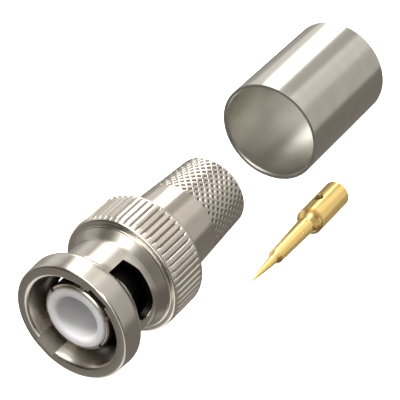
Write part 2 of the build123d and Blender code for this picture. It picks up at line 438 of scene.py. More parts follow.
@dataclass(frozen=True)
class WhiteInsulator:
    """Smooth white fluoropolymer with a faint sheen and fine turning marks, and a painted shadow on
    its outer wall behind the sleeve.
    """

    name: str = "white_insulator"
    colour: tuple = (0.73, 0.725, 0.735, 1.0)
    deep: tuple = (0.67, 0.67, 0.69, 1.0)
    shadow: tuple = (0.02, 0.02, 0.02, 1.0)
    back_radius: tuple = (3.5, 3.65)
    back_start: tuple = (1.4, 2.4)
    roughness: float = 0.34
    line_scale: float = 9.0
    line_blur: float = 0.08
    line_depth: float = 0.002
    cloud_scale: float = 0.8
    cloud_range: tuple = (0.3, 0.75)
    soft_share: float = 0.25
    soft_depth: float = 0.6

    def make(self) -> bpy.types.Material:
        """Builds the material.

        Returns:
            The finished material.
        """
        surface = Surface(self.name)
        lines = surface.noise(surface.turned, self.line_scale)
        cloud = surface.noise(surface.place, self.cloud_scale)
        plain = surface.mix(cloud.ramp(*self.cloud_range), self.colour, self.deep)
        # Painted shadow: near black on the outer wall where it lies behind the sleeve.
        behind = surface.radius.ramp(*self.back_radius) * surface.along.ramp(*self.back_start)
        return surface.close(
            Base_Color=surface.mix(behind, plain, self.shadow),
            Roughness=self.roughness + (lines - 0.5) * self.line_blur,
            Normal=surface.bump(lines, self.line_depth),
            Subsurface_Weight=self.soft_share,
            Subsurface_Scale=self.soft_depth * MM,
        )


@dataclass(frozen=True)
class ShadeSeal:
    """Matt rubber seal, painted near black as shade so the nut's windows stay dark, with a fine
    grain.
    """

    name: str = "painted_shade_seal"
    colour: tuple = (0.012, 0.012, 0.012, 1.0)
    roughness: float = 0.62
    grain_scale: float = 5.0
    grain_range: tuple = (0.3, 0.8)
    grain_share: float = 0.7
    grain_blur: float = 0.1
    grain_depth: float = 0.01

    def make(self) -> bpy.types.Material:
        """Builds the material.

        Returns:
            The finished material.
        """
        surface = Surface(self.name)
        grain = surface.noise(surface.place, self.grain_scale, 3.0)
        worn = dimmed(self.colour, self.grain_share)
        return surface.close(
            Base_Color=surface.mix(grain.ramp(*self.grain_range), self.colour, worn),
            Roughness=self.roughness + (grain - 0.5) * self.grain_blur,
            Normal=surface.bump(grain, self.grain_depth),
        )


@dataclass(frozen=True)
class PaleFloor:
    """Plain pale floor."""

    name: str = "pale_floor"
    colour: tuple = (0.93, 0.93, 0.925, 1.0)
    roughness: float = 0.9
    glow: float = 0.92

    def make(self) -> bpy.types.Material:
        """Builds the material.

        Returns:
            The finished material.
        """
        return Surface(self.name).close(
            Base_Color=self.colour,
            Roughness=self.roughness,
            Emission_Color=self.colour,
            Emission_Strength=self.glow,
        )


# Turned meshes


@dataclass(frozen=True)
class Corner:
    """A corner of a turned section, with its rounding and the cuts in the run after it."""

    radius: float
    along: float
    bend: float = 0.0
    cuts: int = 0


def scaled(place: Sequence[float]) -> Vector:
    """Millimetres to metres."""
    return Vector(place) * MM


@dataclass
class Turning:
    """A closed section spun about an axis that runs along Y."""

    corners: Sequence[Corner]
    sectors: int = 12
    sector_steps: int = 16
    arc_step: float = math.radians(9)

    def build(self) -> bmesh.types.BMesh:
        """Makes the mesh in millimetres.

        Returns:
            The closed turned shell.
        """
        mesh = bmesh.new()
        points = [mesh.verts.new((c.radius, c.along, 0.0)) for c in self.corners]
        count = len(points)
        for i in range(count):
            mesh.edges.new((points[i], points[(i + 1) % count]))
        bends = [self._turn(i) for i in range(count)]
        for point, corner, turn in zip(points, self.corners, bends):
            if corner.bend:
                bmesh.ops.bevel(
                    mesh,
                    geom=[point],
                    offset=corner.bend * math.tan(turn / 2),
                    offset_type="OFFSET",
                    segments=max(2, math.ceil(turn / self.arc_step)),
                    profile=0.5,
                    affect="VERTICES",
                    material=-1,
                )
        self._divide(mesh)
        sector = math.tau / self.sectors
        axis = {"cent": (0, 0, 0), "axis": (0, 1, 0)}
        outline = mesh.verts[:] + mesh.edges[:]
        bmesh.ops.spin(mesh, geom=outline, angle=sector, steps=self.sector_steps, **axis)
        first = mesh.verts[:] + mesh.edges[:] + mesh.faces[:]
        others = self.sectors - 1
        bmesh.ops.spin(
            mesh, geom=first, angle=sector * others, steps=others, use_duplicate=True, **axis
        )
        bmesh.ops.remove_doubles(mesh, verts=mesh.verts, dist=TOLERANCE)
        bmesh.ops.recalc_face_normals(mesh, faces=mesh.faces)
        return mesh

    def _turn(self, i: int) -> float:
        """Measures how sharply the outline turns.

        Args:
            i: The corner's number.

        Returns:
            The angle between its two runs.
        """
        places = [Vector((c.radius, c.along)) for c in self.corners]
        before, here, after = places[i - 1], places[i], places[(i + 1) % len(places)]
        return (here - before).angle(after - here)

    def _divide(self, mesh: bmesh.types.BMesh) -> None:
        """Cuts the straight runs that ask for it into short edges.

        Args:
            mesh: The outline with its corners rounded.
        """
        count = len(self.corners)
        for i, corner in enumerate(self.corners):
            if not corner.cuts:
                continue
            after = self.corners[(i + 1) % count]
            start = Vector((corner.radius, corner.along, 0.0))
            end = Vector((after.radius, after.along, 0.0))
            run = (end - start).normalized()
            on_run = []
            for edge in mesh.edges:
                ends = [v.co - start for v in edge.verts]
                aside = max((e - run * e.dot(run)).length for e in ends)
                middle = (ends[0] + ends[1]).dot(run) / 2
                if aside < TOLERANCE and 0 <= middle <= (end - start).length:
                    on_run.append(edge)
            longest = max(on_run, key=lambda e: e.calc_length())
            bmesh.ops.subdivide_edges(mesh, edges=[longest], cuts=corner.cuts)


def polar(point: Vector) -> tuple[float, float]:
    """Distance from the axis, and angle from +X towards +Z."""
    return math.hypot(point.x, point.z), math.atan2(point.z, point.x)


def round_axis(radius: float, angle: float, along: float) -> Vector:
    """The point that polar() gives these numbers for, at a place along the axis."""
    return Vector((radius * math.cos(angle), along, radius * math.sin(angle)))


def turn_round(mesh: bmesh.types.BMesh, angle: float) -> None:
    """Turns a mesh about the Y axis by an angle from +X towards +Z."""
    turn = Matrix.Rotation(-angle, 3, "Y")
    bmesh.ops.rotate(mesh, cent=(0, 0, 0), matrix=turn, verts=mesh.verts)


def smooth(value: float, low: float, high: float) -> float:
    """A smooth step from 0 at low to 1 at high."""
    t = min(1.0, max(0.0, (value - low) / (high - low)))
    return t * t * (3 - 2 * t)


def add_object(name: str, data: bpy.types.ID) -> bpy.types.Object:
    """Puts a mesh, camera or lamp into the scene.

    Args:
        name: The object's name.
        data: What it shows.

    Returns:
        The object, linked to the scene.
    """
    made = bpy.data.objects.new(name, data)
    bpy.context.scene.collection.objects.link(made)
    return made


def piece_from(mesh: bmesh.types.BMesh, name: str) -> bpy.types.Object:
    """Turns a mesh in millimetres into an object in metres.

    Args:
        mesh: The mesh, which is freed.
        name: The piece's name.

    Returns:
        The object, linked to the scene.
    """
    bmesh.ops.scale(mesh, vec=(MM, MM, MM), verts=mesh.verts)
    data = bpy.data.meshes.new(name)
    mesh.to_mesh(data)
    mesh.free()
    return add_object(name, data)


def carve(piece: bpy.types.Object, cutters: Sequence[bpy.types.Object]) -> None:
    """Cuts shapes out of a piece for good and removes the cutters.

    Args:
        piece: The piece to cut.
        cutters: Closed meshes.
    """
    for cutter in cutters:
        cut = piece.modifiers.new("cut", "BOOLEAN")
        cut.operation = "DIFFERENCE"
        cut.solver = "EXACT"
        cut.object = cutter
    bpy.context.view_layer.update()
    graph = bpy.context.evaluated_depsgraph_get()
    data = bpy.data.meshes.new_from_object(piece.evaluated_get(graph))
    piece.modifiers.clear()
    piece.data = data
    for cutter in cutters:
        bpy.data.objects.remove(cutter)


def box_cutter(name: str, size: Vector, centre: Vector, turn: float) -> bpy.types.Object:
    """A box that is turned about the Y axis.

    Args:
        name: Its name while it lasts.
        size: Its size before the turn, in millimetres.
        centre: Its centre before the turn, in millimetres.
        turn: Angle from +X towards +Z.

    Returns:
        The cutter.
    """
    mesh = bmesh.new()
    bmesh.ops.create_cube(mesh, size=1.0)
    bmesh.ops.scale(mesh, vec=size, verts=mesh.verts)
    bmesh.ops.translate(mesh, vec=centre, verts=mesh.verts)
    turn_round(mesh, turn)
    return piece_from(mesh, name)


def prism_cutter(
    name: str, outline: Sequence[tuple], width: float, turn: float
) -> bpy.types.Object:
    """A prism across a plane through the axis.

    Args:
        name: Its name while it lasts.
        outline: Its corners as radius and place along the axis, in millimetres.
        width: Its width across the plane.
        turn: Angle of the plane from +X towards +Z.

    Returns:
        The cutter.
    """
    mesh = bmesh.new()
    side = mesh.faces.new([mesh.verts.new((r, y, -width / 2)) for r, y in outline])
    grown = bmesh.ops.extrude_face_region(mesh, geom=[side])["geom"]
    moved = [v for v in grown if isinstance(v, bmesh.types.BMVert)]
    bmesh.ops.translate(mesh, vec=(0, 0, width), verts=moved)
    bmesh.ops.recalc_face_normals(mesh, faces=mesh.faces)
    turn_round(mesh, turn)
    return piece_from(mesh, name)


def finish_piece(
    piece: bpy.types.Object,
    material: bpy.types.Material,
    body: Body,
    slot: Slot,
    nodes: Sequence[str],
    recess: Optional[Callable[[Vector], float]] = None,
) -> bpy.types.Object:
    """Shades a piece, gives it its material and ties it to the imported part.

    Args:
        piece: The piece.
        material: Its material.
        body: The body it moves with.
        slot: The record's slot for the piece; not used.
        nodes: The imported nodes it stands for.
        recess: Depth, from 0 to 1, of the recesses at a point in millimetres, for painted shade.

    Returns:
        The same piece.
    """
    data = piece.data
    data.polygons.foreach_set("use_smooth", [True] * len(data.polygons))
    data.set_sharp_from_angle(angle=SHARP_ANGLE)
    depth = data.attributes.new("recess", "FLOAT", "POINT")
    if recess is not None:
        depth.data.foreach_set("value", [recess(v.co / MM) for v in data.vertices])
    data.materials.clear()
    data.materials.append(material)
    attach(piece, body.value)
    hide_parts(*nodes)
    log.info("%s: %d faces", piece.name, len(data.polygons))
    return piece


# Pieces


@dataclass
class CouplingNut:
    """Turned nut with bayonet windows, stud grooves and a fluted grip."""

    mate_radius: float = 4.95
    mouth_radius: float = 5.75
    mouth_length: float = 2.2
    mouth_round: float = 0.43
    cavity_radius: float = 6.1
    snap_groove_radius: float = 6.55
    snap_groove: tuple = (12.12, 12.76)
    shoulder: float = 9.6
    length: float = 14.67
    grip_radius: float = 7.25
    grip_start: float = 9.2
    rim_radius: float = 7.12
    rim_end: float = 10.0
    step_radius: float = 6.4
    step_start: float = 8.8
    neck_radius: float = 5.75
    neck: tuple = (3.7, 7.7)
    flange_radius: float = 7.17
    flange_end: float = 2.75
    face_radius: float = 7.02
    bore_round: float = 0.12
    grip_round: float = 0.5
    rim_rounds: tuple = (0.25, 0.4)
    step_round: float = 0.15
    neck_rounds: tuple = (1.3, 0.8)
    flange_round: float = 0.9
    face_round: float = 0.25
    flute_count: int = 58
    flute_steps: int = 10
    flute_depth: float = 0.2
    flute_half_width: float = 0.17
    flute_end_share: float = 0.45
    flute_range: tuple = (9.42, 14.2)
    flute_fade: float = 0.3
    land_drop: float = 0.035
    skin: float = 0.4
    crowding: float = 0.41
    track_angle: float = 53.5
    track_count: int = 2
    track_width: float = 2.4
    track_floor_radius: float = 5.5
    track_mouth_radius: float = 6.25
    track_mouth_length: float = 1.6
    track_reach: float = 2.0
    mark_drop: float = 0.2
    mark_reach: float = 1.0
    overrun: float = 0.3
    track_end: float = 5.6
    window_start: float = 3.55
    window_width: float = 2.9
    window_climb: float = 0.6
    window_climb_length: float = 1.95
    window_end_angle: float = 8.0
    window_columns: int = 40
    window_crowding: float = 1.6
    reach: tuple = (4.85, 6.75)

    def section(self) -> list[Corner]:
        """Corners of the turned section.

        Returns:
            The corners in order.
        """
        return [
            Corner(self.mate_radius, self.shoulder),
            Corner(self.cavity_radius, self.shoulder),
            Corner(self.cavity_radius, self.snap_groove[0]),
            Corner(self.snap_groove_radius, self.snap_groove[0]),
            Corner(self.snap_groove_radius, self.snap_groove[1]),
            Corner(self.cavity_radius, self.snap_groove[1]),
            Corner(self.cavity_radius, self.length, self.bore_round),
            Corner(self.grip_radius, self.length, self.grip_round, 24),
            Corner(self.grip_radius, self.rim_end, self.rim_rounds[1]),
            Corner(self.rim_radius, self.grip_start, self.rim_rounds[0]),
            Corner(self.step_radius, self.grip_start, self.step_round),
            Corner(self.step_radius, self.step_start, self.step_round),
            Corner(self.neck_radius, self.neck[1], self.neck_rounds[1], 8),
            Corner(self.neck_radius, self.neck[0], self.neck_rounds[0]),
            Corner(self.flange_radius, self.flange_end, self.flange_round, 2),
            Corner(self.face_radius, 0.0, self.face_round),
            Corner(self.mouth_radius, 0.0, self.mouth_round, 4),
            Corner(self.mate_radius, self.mouth_length, 0, 6),
        ]

    def from_flute(self, angle: float) -> float:
        """Share of half a pitch, from -1 to 1, that an angle is from its nearest flute."""
        turns = (angle + math.pi / 2) / math.tau * self.flute_count - 0.5
        return 2 * (turns - round(turns))

    def flute(self, radius: float, angle: float, along: float) -> tuple[float, float]:
        """Depth of the flutes and of the rounded lands between them.

        Args:
            radius: Distance from the axis.
            angle: Angle round the axis.
            along: Place along the axis.

        Returns:
            The flute's share of its full depth, and the drop of the surface.
        """
        if radius < self.grip_radius - self.skin:
            return 0.0, 0.0
        share = abs(self.from_flute(angle))
        away = share * math.pi / self.flute_count * self.grip_radius
        start, end = self.flute_range
        ends = smooth(along, start, start + self.flute_fade)
        ends *= 1 - smooth(along, end - self.flute_fade, end)
        width_share = self.flute_end_share + (1 - self.flute_end_share) * ends
        groove = ends * (1 - smooth(away, 0.0, self.flute_half_width * width_share))
        return groove, groove * self.flute_depth + ends * self.land_drop * (1 - share) ** 2

    def crowd(self, angle: float) -> float:
        """Moves the angle of a column of points towards its flute."""
        share = self.from_flute(angle)
        return angle + self.crowding * (share**3 - share) * math.pi / self.flute_count

    def window_cutter(self, turn: float) -> bpy.types.Object:
        """Cutter of one window: a short climb, a straight run and a round end.

        Args:
            turn: Angle of its stud groove.

        Returns:
            The cutter.
        """
        mesh = bmesh.new()
        bmesh.ops.create_grid(mesh, x_segments=self.window_columns, y_segments=1, size=0.5)
        span = math.radians(self.track_angle - self.window_end_angle) * self.neck_radius
        first = -self.track_width / 2
        last = span + self.window_width / 2
        climb_end = self.window_climb_length + first
        for v in mesh.verts:
            share = 1 - (0.5 - v.co.x) ** self.window_crowding
            travel = first + (last - first) * share
            climb = min(1.0, max(0.0, (travel - first) / (climb_end - first)))
            middle = self.window_start + self.window_width / 2 + self.window_climb * climb
            over = max(0.0, travel - span)
            half = math.sqrt(max(TOLERANCE, (self.window_width / 2) ** 2 - over**2))
            v.co = Vector((travel, middle + (half if v.co.y > 0 else -half), self.reach[0]))
        faces = bmesh.ops.extrude_face_region(mesh, geom=mesh.faces[:])["geom"]
        outer = {v for v in faces if isinstance(v, bmesh.types.BMVert)}
        for v in mesh.verts:
            radius = self.reach[1] if v in outer else self.reach[0]
            v.co = round_axis(radius, turn - v.co.x / self.neck_radius, v.co.y)
        bmesh.ops.recalc_face_normals(mesh, faces=mesh.faces)
        return piece_from(mesh, "window_cutter")

    def track_cutter(self, turn: float) -> bpy.types.Object:
        """Cutter of one stud groove with its sloping mouth.

        Args:
            turn: Angle of the groove.

        Returns:
            The cutter.
        """
        slope = (self.track_mouth_radius - self.track_floor_radius) / self.track_mouth_length
        inner = self.mate_radius - self.track_reach
        outline = [
            (inner, -self.overrun),
            (self.track_mouth_radius + slope * self.overrun, -self.overrun),
            (self.track_floor_radius, self.track_mouth_length),
            (self.track_floor_radius, self.track_end),
            (inner, self.track_end),
        ]
        return prism_cutter("track_cutter", outline, self.track_width, turn)

    def mark_cutter(self, turn: float) -> bpy.types.Object:
        """Cutter of the bevelled mark on the outer edge, in line with a stud groove.

        Args:
            turn: Angle of the groove.

        Returns:
            The cutter.
        """
        edge, reach = self.face_radius - self.mark_drop, self.mark_reach
        outline = [(edge - reach, -reach), (edge + reach, -reach), (edge + reach, reach)]
        return prism_cutter("mark_cutter", outline, self.face_radius, turn)

    def build(self, material: bpy.types.Material) -> bpy.types.Object:
        """Makes the nut.

        Args:
            material: Its plating.

        Returns:
            The finished piece.
        """
        mesh = Turning(self.section(), self.flute_count // 2, self.flute_steps * 2).build()
        for v in mesh.verts:
            radius, angle = polar(v.co)
            angle = self.crowd(angle)
            v.co = round_axis(radius - self.flute(radius, angle, v.co.y)[1], angle, v.co.y)
        piece = piece_from(mesh, "coupling_nut_turned")
        cutters = []
        for i in range(self.track_count):
            turn = math.radians(self.track_angle + i * 360 / self.track_count)
            cutters += [self.window_cutter(turn), self.track_cutter(turn), self.mark_cutter(turn)]
        carve(piece, cutters)
        return finish_piece(piece, material, Body.NUT, Slot.NICKEL, ["coupling_nut"], self.recess)

    def recess(self, point: Vector) -> float:
        """Depth of the recess at a point of the grip, for painted shade in the flutes."""
        radius, angle = polar(point)
        return self.flute(radius, angle, point.y)[0]


@dataclass
class BodyShell:
    """Body with its hub, flange, collar and diamond-knurled crimp stem."""

    seat_radius: float = 4.1
    front: float = 9.3
    hub_radius: float = 4.85
    flange: tuple = (9.7, 10.7)
    flange_radius: float = 6.0
    collar_radius: float = 5.35
    taper_start: float = 13.4
    knurl_start: float = 20.55
    stem_end: float = 27.69
    stem_end_radius: float = 4.54
    stem_bore_radius: float = 3.7
    stem_chamfer: float = 0.15
    insulator_stop: float = 15.6
    columns: int = 31
    rows: int = 13
    column_steps: int = 16
    row_steps: int = 8
    margin: float = 0.1
    depth: float = 0.14
    land: tuple = (0.24, 0.85)
    skin: float = 0.1
    bore_skin: float = 0.3
    hub_round: float = 0.1
    edge_round: float = 0.08
    stem_round: float = 0.05

    def surface(self, along: float) -> float:
        """Radius of the stem before it is knurled."""
        taper = (self.collar_radius - self.stem_end_radius) / (self.stem_end - self.taper_start)
        return self.collar_radius - max(0.0, along - self.taper_start) * taper

    def section(self) -> list[Corner]:
        """Corners of the turned section.

        Returns:
            The corners in order.
        """
        chamfer_start = self.stem_end - self.stem_chamfer
        return [
            Corner(self.seat_radius, self.front),
            Corner(self.hub_radius, self.front, self.hub_round),
            Corner(self.hub_radius, self.flange[0]),
            Corner(self.flange_radius, self.flange[0], self.edge_round),
            Corner(self.flange_radius, self.flange[1], self.edge_round),
            Corner(self.collar_radius, self.flange[1]),
            Corner(self.collar_radius, self.taper_start, 0, 4),
            Corner(self.surface(self.knurl_start), self.knurl_start, 0, self.rows * self.row_steps),
            Corner(self.surface(chamfer_start), chamfer_start, self.stem_round),
            Corner(self.stem_end_radius - self.stem_chamfer, self.stem_end, self.stem_round),
            Corner(self.stem_bore_radius, self.stem_end, self.edge_round),
            Corner(self.stem_bore_radius, self.insulator_stop),
            Corner(self.seat_radius, self.insulator_stop),
        ]

    def pit(self, angle: float, along: float) -> float:
        """Depth of the knurl's pits, from 0 on the crossing ridges to 1.

        Args:
            angle: Angle round the axis.
            along: Place along the axis.

        Returns:
            The share of the full depth.
        """
        edge = self.margin
        start, end = self.knurl_start + edge, self.stem_end - self.stem_chamfer - edge
        if not start - edge < along < end + edge:
            return 0.0
        row = (along - start) / (end - start) * self.rows - 0.5
        column = angle / math.tau * self.columns
        first = column + row / 2
        second = column - row / 2
        ridge = min(0.5 - abs(first - round(first)), 0.5 - abs(second - round(second))) * 2
        ends = smooth(along, start - edge, start + edge)
        ends *= 1 - smooth(along, end - edge, end + edge)
        return ends * smooth(ridge, *self.land)

    def build(self, material: bpy.types.Material) -> bpy.types.Object:
        """Makes the body.

        Args:
            material: Its plating.

        Returns:
            The finished piece.
        """
        mesh = Turning(self.section(), self.columns, self.column_steps).build()
        for v in mesh.verts:
            radius, angle = polar(v.co)
            if radius > self.surface(v.co.y) - self.skin:
                v.co = round_axis(radius - self.depth * self.pit(angle, v.co.y), angle, v.co.y)
        piece = piece_from(mesh, "body_turned")
        nodes = ["body_shell"]
        return finish_piece(piece, material, Body.CONNECTOR, Slot.NICKEL, nodes, self.recess)

    def recess(self, point: Vector) -> float:
        """Depth of the recess at a point, for painted shade: the pits of the knurl, and none in the
        bore.
        """
        radius, angle = polar(point)
        return self.pit(angle, point.y) if radius > self.stem_bore_radius + self.bore_skin else 0.0


@dataclass
class OuterContact:
    """Thin slotted sleeve around the insulator."""

    front: float = 1.0
    end: float = 12.5
    radius: float = 4.08
    wall: float = 0.36
    slot_count: int = 6
    slot_width: float = 0.45
    slot_end: float = 8.3
    slot_angle: float = 20.0
    lip: float = 0.18
    lip_rounds: tuple = (0.05, 0.06, 0.1)
    overrun: float = 1.0

    def build(self, material: bpy.types.Material) -> bpy.types.Object:
        """Makes the sleeve.

        Args:
            material: Its plating.

        Returns:
            The finished piece.
        """
        section = [
            Corner(self.radius - self.wall, self.front, self.lip_rounds[0]),
            Corner(self.radius - self.lip, self.front, self.lip_rounds[1]),
            Corner(self.radius, self.front + self.lip, self.lip_rounds[2], 12),
            Corner(self.radius, self.end),
            Corner(self.radius - self.wall, self.end),
        ]
        piece = piece_from(Turning(section, 15, 16).build(), "outer_contact_slotted")
        reach = self.radius + self.overrun
        run = self.slot_end - self.front + self.overrun
        cutters = [
            box_cutter(
                "slot_cutter",
                Vector((reach, run, self.slot_width)),
                Vector((reach / 2, self.slot_end - run / 2, 0)),
                math.radians(self.slot_angle + i * 360 / self.slot_count),
            )
            for i in range(self.slot_count)
        ]
        carve(piece, cutters)
        return finish_piece(piece, material, Body.CONNECTOR, Slot.NICKEL, ["outer_contact"])


@dataclass
class Insulator:
    """White cup with a deep front bore and the seat of the centre contact behind it."""

    front: float = 0.8
    radius: float = 3.7
    cup_radius: float = 2.58
    cup_floor: float = 6.8
    step: float = 12.52
    land_radius: float = 4.08
    stop: float = 15.6
    pot_bore_radius: float = 1.72
    pot_seat: float = 14.1
    shaft_bore_radius: float = 1.12
    cup_round: float = 0.55
    edge_round: float = 0.32
    floor_round: float = 0.3
    bore_round: float = 0.08

    def build(self, material: bpy.types.Material) -> bpy.types.Object:
        """Makes the insulator.

        Args:
            material: Its finish.

        Returns:
            The finished piece.
        """
        section = [
            Corner(self.cup_radius, self.front, self.cup_round),
            Corner(self.radius, self.front, self.edge_round),
            Corner(self.radius, self.step),
            Corner(self.land_radius, self.step),
            Corner(self.land_radius, self.stop),
            Corner(self.pot_bore_radius, self.stop),
            Corner(self.pot_bore_radius, self.pot_seat),
            Corner(self.shaft_bore_radius, self.pot_seat),
            Corner(self.shaft_bore_radius, self.cup_floor, self.bore_round),
            Corner(self.cup_radius, self.cup_floor, self.floor_round),
        ]
        piece = piece_from(Turning(section).build(), "insulator_cup")
        return finish_piece(piece, material, Body.CONNECTOR, Slot.INSULATOR, ["insulator"])


@dataclass
class Ferrule:
    """Loose crimp ferrule: a plain thin tube."""

    radius: float = 6.52
    bore_radius: float = 6.0
    start: float = 42.6
    end: float = 59.84
    centre_x: float = -1.02
    centre_z: float = -0.73
    chamfer: float = 0.2
    edge_round: float = 0.05
    bore_round: float = 0.1

    def build(self, material: bpy.types.Material) -> bpy.types.Object:
        """Makes the tube.

        Args:
            material: Its plating.

        Returns:
            The finished piece.
        """
        lip = self.bore_radius + self.chamfer
        section = [
            Corner(self.radius, self.start, self.edge_round),
            Corner(lip, self.start, self.edge_round),
            Corner(self.bore_radius, self.start + self.chamfer, self.bore_round, 10),
            Corner(self.bore_radius, self.end - self.chamfer, self.bore_round),
            Corner(lip, self.end, self.edge_round),
            Corner(self.radius, self.end, self.edge_round, 10),
        ]
        mesh = Turning(section, 20, 16).build()
        bmesh.ops.translate(mesh, vec=(self.centre_x, 0, self.centre_z), verts=mesh.verts)
        piece = piece_from(mesh, "ferrule_tube")
        return finish_piece(piece, material, Body.FERRULE, Slot.NICKEL, ["crimp_ferrule"])


@dataclass
class CentreContact:
    """Loose gold contact: pointed nose, tapered shaft, and a bored pot with a sight hole."""

    centre_x: float = 8.93
    centre_z: float = -5.6
    tip: float = 22.0
    tip_radius: float = 0.06
    cone_length: float = 4.85
    cone_radius: float = 0.58
    cone_bulge_share: float = 0.62
    cone_bulge: float = 12.0
    nose_length: float = 0.55
    nose_radius: float = 0.85
    shaft_length: float = 7.0
    shaft_radius: float = 1.07
    slope_length: float = 0.8
    pot_radius: float = 1.65
    pot_length: float = 6.8
    wire_bore_radius: float = 1.2
    wire_bore_depth: float = 5.0
    wire_bore_tip: float = 0.5
    sight_hole_radius: float = 0.7
    sight_hole_setback: float = 3.75
    sight_hole_angle: float = 112.0
    tip_round: float = 0.03
    cone_round: float = 0.15
    edge_round: float = 0.12
    slope_round: float = 0.2
    mouth_round: float = 0.06

    def build(self, material: bpy.types.Material) -> bpy.types.Object:
        """Makes the contact.

        Args:
            material: Its plating.

        Returns:
            The finished piece.
        """
        nose = self.tip + self.cone_length
        shaft = nose + self.nose_length
        slope = shaft + self.shaft_length
        pot = slope + self.slope_length
        end = pot + self.pot_length
        bore_end = end - self.wire_bore_depth
        middle = (self.cone_radius * self.cone_bulge_share, self.tip + self.cone_length / 2)
        section = [
            Corner(0.0, self.tip),
            Corner(self.tip_radius, self.tip, self.tip_round),
            Corner(*middle, self.cone_bulge),
            Corner(self.cone_radius, nose, self.cone_round),
            Corner(self.nose_radius, shaft, self.edge_round),
            Corner(self.shaft_radius, slope, self.slope_round),
            Corner(self.pot_radius, pot, self.edge_round),
            Corner(self.pot_radius, end, self.edge_round),
            Corner(self.wire_bore_radius, end, self.mouth_round),
            Corner(self.wire_bore_radius, bore_end),
            Corner(0.0, bore_end - self.wire_bore_tip),
        ]
        piece = piece_from(Turning(section, sector_steps=12).build(), "centre_contact_pin")
        drill = bmesh.new()
        bmesh.ops.create_cone(
            drill,
            cap_ends=True,
            segments=48,
            radius1=self.sight_hole_radius,
            radius2=self.sight_hole_radius,
            depth=2 * self.pot_radius,
        )
        turn_round(drill, -math.pi / 2)
        place = Vector((self.pot_radius, end - self.sight_hole_setback, 0))
        bmesh.ops.translate(drill, vec=place, verts=drill.verts)
        turn_round(drill, math.radians(self.sight_hole_angle))
        carve(piece, [piece_from(drill, "sight_hole_drill")])
        piece.data.transform(Matrix.Translation(scaled((self.centre_x, 0, self.centre_z))))
        piece.visible_glossy = False
        return finish_piece(piece, material, Body.CONNECTOR, Slot.GOLD, ["center_contact"])


@dataclass
class WaveSpring:
    """Wave spring behind the body's flange. A real one flattens as the nut is drawn back; this
    piece keeps its wavy shape.
    """

    inner_radius: float = 5.45
    outer_radius: float = 6.0
    start: float = 10.95
    height: float = 0.9
    thickness: float = 0.22
    waves: int = 3
    edge_round: float = 0.04
    travel: float = 0.5
    joint: str = "nut_draw"

    def build(self, material: bpy.types.Material) -> bpy.types.Object:
        """Makes the spring.

        Args:
            material: Its finish.

        Returns:
            The finished piece.
        """
        inner, outer = self.inner_radius, self.outer_radius
        front, back = self.start, self.start + self.thickness
        outline = [(inner, front), (outer, front), (outer, back), (inner, back)]
        section = [Corner(*place, self.edge_round) for place in outline]
        mesh = Turning(section, sector_steps=12).build()
        rise = self.height - self.thickness
        for v in mesh.verts:
            v.co.y += rise * (1 - math.cos(self.waves * polar(v.co)[1])) / 2
        piece = piece_from(mesh, "wave_spring_strip")
        finish_piece(piece, material, Body.CONNECTOR, Slot.SPRING, ["wave_spring"])
        anchor = scaled((0, self.start, 0))
        keep = 1 - self.travel / self.height
        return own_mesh(piece)


def dress_node(node: bpy.types.Object, material: bpy.types.Material) -> None:
    """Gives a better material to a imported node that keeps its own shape.

    Args:
        node: The node's object.
        material: Its new finish.
    """
    node.data.materials.clear()
    node.data.materials.append(material)
    log.info("%s keeps its own shape", node.name)


# Studio


@dataclass(frozen=True)
class Strip:
    """A long softbox or reflector that runs along the connector, seen in its metal.

    Attributes:
        angle: Its middle, from +X over +Z, in degrees.
        half_width: Half its width in degrees.
        softness: Width of its soft edges in degrees.
        strength: Its brightness.
        ends: How far along Y a direction leans where the strip starts and where it is full.
    """

    angle: float
    half_width: float
    softness: float
    strength: float
    ends: tuple = (-0.6, 0.3)


@dataclass(frozen=True)
class Lamp:
    """A square lamp, in metres and watts, that lights matt surfaces and stays out of the metal."""

    name: str
    place: tuple
    aim: tuple
    size: float
    power: float

    def hang(self) -> None:
        """Adds the lamp to the scene."""
        data = bpy.data.lights.new(self.name, "AREA")
        data.shape = "SQUARE"
        data.size = self.size
        data.energy = self.power
        lamp = add_object(self.name, data)
        lamp.location = self.place
        lamp.rotation_mode = "QUATERNION"
        toward = Vector(self.aim) - Vector(self.place)
        lamp.rotation_quaternion = toward.to_track_quat("-Z", "Y")
        lamp.visible_glossy = False


